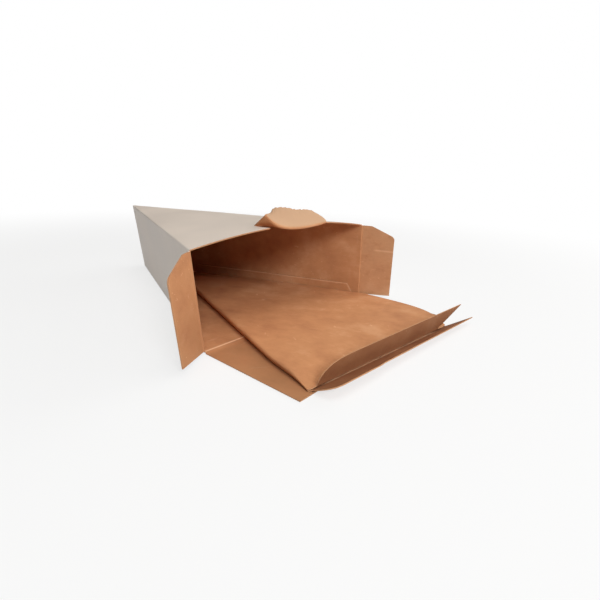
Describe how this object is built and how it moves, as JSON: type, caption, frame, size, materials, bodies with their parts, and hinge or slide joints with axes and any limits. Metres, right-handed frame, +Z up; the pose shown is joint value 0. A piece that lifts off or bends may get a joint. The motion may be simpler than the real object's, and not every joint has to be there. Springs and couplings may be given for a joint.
{
  "type": "slice takeaway box",
  "caption": "Open triangular card carton for a slice, with side flaps, a torn top flap and a folded card liner pulled part way out of its mouth.",
  "frame": {"origin": "on the resting plane, under the middle of the carton's triangular floor", "axes": "+Z up, -Y out of the carton's mouth, +X across the mouth to the right when looking in"},
  "size_m": [0.1426, 0.2437, 0.0567],
  "materials": {
    "carton_card": "smooth pale coating outside, plain kraft inside",
    "flap_card": "plain kraft inside, smooth pale coating outside",
    "liner_card": "plain kraft, matt"
  },
  "bodies": {
    "carton": {"carton": "carton_card", "card_liner": "liner_card"},
    "left_flap": {"left_dust_flap": "flap_card"},
    "right_flap": {"right_dust_flap": "flap_card"}
  },
  "joints": [
    {"name": "left_flap_fold", "type": "hinge", "parent": "carton", "child": "left_flap", "pos_m": [-0.0596, -0.05588, 0.0225], "axis": [0, 0, -1], "range_deg": [-145, 130]},
    {"name": "right_flap_fold", "type": "hinge", "parent": "carton", "child": "right_flap", "pos_m": [0.0596, -0.05588, 0.0225], "axis": [0, 0, 1], "range_deg": [-5, 165]}
  ]
}
